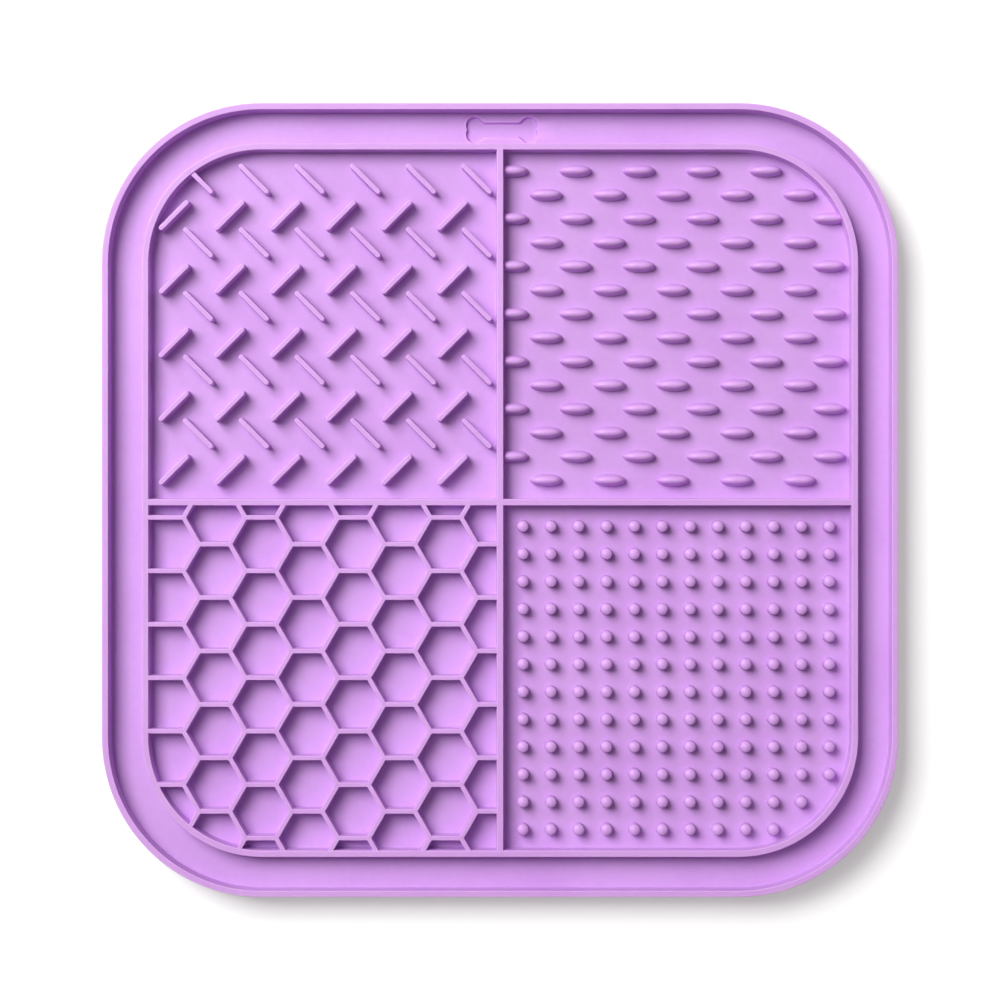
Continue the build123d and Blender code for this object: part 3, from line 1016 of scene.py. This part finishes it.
class LICKMAT_OT_stage(bpy.types.Operator):
    """Set up the camera, the lamps, the sky and the white floor"""

    bl_idname = "lickmat.stage"
    bl_label = "Stage"

    def execute(self, context):
        """The camera looks straight down. A soft box stands at the upper left, a wide screen behind it."""
        scene, stage = context.scene, context.scene.lick_mat_stage
        scene.view_settings.view_transform = "Standard"
        camera = bpy.data.objects.new("Camera", bpy.data.cameras.new("Camera"))
        camera.data.sensor_width = SENSOR_WIDTH
        camera.data.lens = camera.data.sensor_width * stage.camera_height / stage.frame_width
        camera.location = (0.0, 0.0, CAD_BOX[1][2] + stage.camera_height)
        scene.collection.objects.link(camera)
        scene.camera = camera
        place, aim = Vector(stage.lamp_place), Vector(stage.lamp_aim)
        self.lamp(scene, "SoftBox", place, aim, stage.lamp_size, stage.lamp_power)
        wide_place = place * stage.wide_share
        self.lamp(scene, "WideScreen", wide_place, Vector(), stage.wide_size, stage.wide_power)
        self.sky(scene, stage)
        self.floor(scene, stage)
        return {"FINISHED"}

    def lamp(self, scene, name, place, aim, size, power):
        """One square lamp at a place, facing a point."""
        lamp = bpy.data.objects.new(name, bpy.data.lights.new(name, "AREA"))
        lamp.data.shape = "SQUARE"
        lamp.data.size = size
        lamp.data.energy = power
        lamp.location = place
        lamp.rotation_euler = (place - aim).to_track_quat("Z", "Y").to_euler()
        scene.collection.objects.link(lamp)

    def seen_directly(self, tree):
        """Mask of the rays from the camera, from gloss and through glass."""
        path = add_node(tree, "ShaderNodeLightPath")
        gloss = add_node(tree, "ShaderNodeMath", operation="MAXIMUM")
        glass = add_node(tree, "ShaderNodeMath", operation="MAXIMUM")
        join(
            tree,
            (path, "Is Camera Ray", gloss, 0),
            (path, "Is Glossy Ray", gloss, 1),
            (gloss, 0, glass, 0),
            (path, "Is Transmission Ray", glass, 1),
        )
        return glass.outputs[0]

    def sky(self, scene, stage):
        """Even warm light on the object, and plain white where the sky itself is seen."""
        world = bpy.data.worlds.new("StudioSky")
        world.use_nodes = True
        tree = world.node_tree
        tree.nodes.clear()
        even_values = {"Color": (*stage.sky_colour, 1.0), "Strength": stage.sky_strength}
        even = add_node(tree, "ShaderNodeBackground", even_values)
        white = add_node(tree, "ShaderNodeBackground", {"Color": (1.0, 1.0, 1.0, 1.0)})
        mix = add_node(tree, "ShaderNodeMixShader")
        output = add_node(tree, "ShaderNodeOutputWorld")
        tree.links.new(self.seen_directly(tree), mix.inputs["Fac"])
        join(
            tree,
            (even, 0, mix, 1),
            (white, 0, mix, 2),
            (mix, 0, output, "Surface"),
        )
        scene.world = world

    def floor(self, scene, stage):
        """White floor that takes the mat's shadow, lifted where it is seen and plain white further out."""
        half = stage.floor_size / 2
        mesh = bpy.data.meshes.new("Floor")
        corners = [(-half, -half, 0.0), (half, -half, 0.0), (half, half, 0.0), (-half, half, 0.0)]
        mesh.from_pydata(corners, [], [(0, 1, 2, 3)])
        floor = bpy.data.objects.new("Floor", mesh)
        scene.collection.objects.link(floor)
        material = bpy.data.materials.new("WhiteFloor")
        material.use_nodes = True
        tree = material.node_tree
        tree.nodes.clear()
        paint_colour = (FLOOR_PAINT, FLOOR_PAINT, FLOOR_PAINT, 1.0)
        paint = add_node(tree, "ShaderNodeBsdfDiffuse", {"Color": paint_colour})
        lift = add_node(tree, "ShaderNodeEmission", {"Strength": FLOOR_LIFT})
        white = add_node(tree, "ShaderNodeEmission", {"Strength": 1.0})
        dark = add_node(tree, "ShaderNodeEmission", {"Strength": 0.0})
        shown = add_node(tree, "ShaderNodeMixShader")
        both = add_node(tree, "ShaderNodeAddShader")
        place = add_node(tree, "ShaderNodeTexCoord")
        distance = add_node(tree, "ShaderNodeVectorMath", operation="LENGTH")
        fade_range = {"From Min": FADE_START, "From Max": FADE_END}
        fade = add_node(tree, "ShaderNodeMapRange", fade_range, interpolation_type="SMOOTHSTEP")
        far = add_node(tree, "ShaderNodeMixShader")
        output = add_node(tree, "ShaderNodeOutputMaterial")
        tree.links.new(self.seen_directly(tree), shown.inputs["Fac"])
        join(
            tree,
            (dark, 0, shown, 1),
            (lift, 0, shown, 2),
            (paint, 0, both, 0),
            (shown, 0, both, 1),
            (place, "Object", distance, 0),
            (distance, "Value", fade, "Value"),
            (fade, "Result", far, "Fac"),
            (both, 0, far, 1),
            (white, 0, far, 2),
            (far, 0, output, "Surface"),
        )
        mesh.materials.append(material)


PIECE_OPERATORS = (
    LICKMAT_OT_backing_sheet,
    LICKMAT_OT_rims,
    LICKMAT_OT_field_walls,
    LICKMAT_OT_slanted_ribs,
    LICKMAT_OT_oval_nubs,
    LICKMAT_OT_honeycomb,
    LICKMAT_OT_round_nubs,
    LICKMAT_OT_suction_cups,
    LICKMAT_OT_stage,
)


class LICKMAT_PT_sidebar(bpy.types.Panel):
    """Lists the lick mat's pieces in the sidebar"""

    bl_idname = "LICKMAT_PT_sidebar"
    bl_label = "Lick Mat"
    bl_space_type = "VIEW_3D"
    bl_region_type = "UI"
    bl_category = "Lick Mat"

    def draw(self, context):
        """One button for each piece or group of pieces, and one for the stage."""
        for operator in PIECE_OPERATORS:
            self.layout.operator(operator.bl_idname)


GROUPS = {
    "lick_mat_sizes": MatSizes,
    "lick_mat_bone": BoneSizes,
    "lick_mat_fields": FieldSizes,
    "lick_mat_finish": SiliconeFinish,
    "lick_mat_stage": StageSettings,
}


def register():
    """Register the property groups, the operators and the panel."""
    for name, group in GROUPS.items():
        bpy.utils.register_class(group)
        setattr(bpy.types.Scene, name, PointerProperty(type=group))
    for operator in PIECE_OPERATORS:
        bpy.utils.register_class(operator)
    bpy.utils.register_class(LICKMAT_PT_sidebar)


def unregister():
    """Take back what register added."""
    bpy.utils.unregister_class(LICKMAT_PT_sidebar)
    for operator in reversed(PIECE_OPERATORS):
        bpy.utils.unregister_class(operator)
    for name, group in GROUPS.items():
        delattr(bpy.types.Scene, name)
        bpy.utils.unregister_class(group)


def main():
    """Build every piece in order."""
    register()
    bpy.ops.lickmat.backing_sheet()
    bpy.ops.lickmat.rims()
    bpy.ops.lickmat.field_walls()
    bpy.ops.lickmat.slanted_ribs()
    bpy.ops.lickmat.oval_nubs()
    bpy.ops.lickmat.honeycomb()
    bpy.ops.lickmat.round_nubs()
    bpy.ops.lickmat.suction_cups()
    bpy.ops.lickmat.stage()


if __name__ == "__main__":
    main()
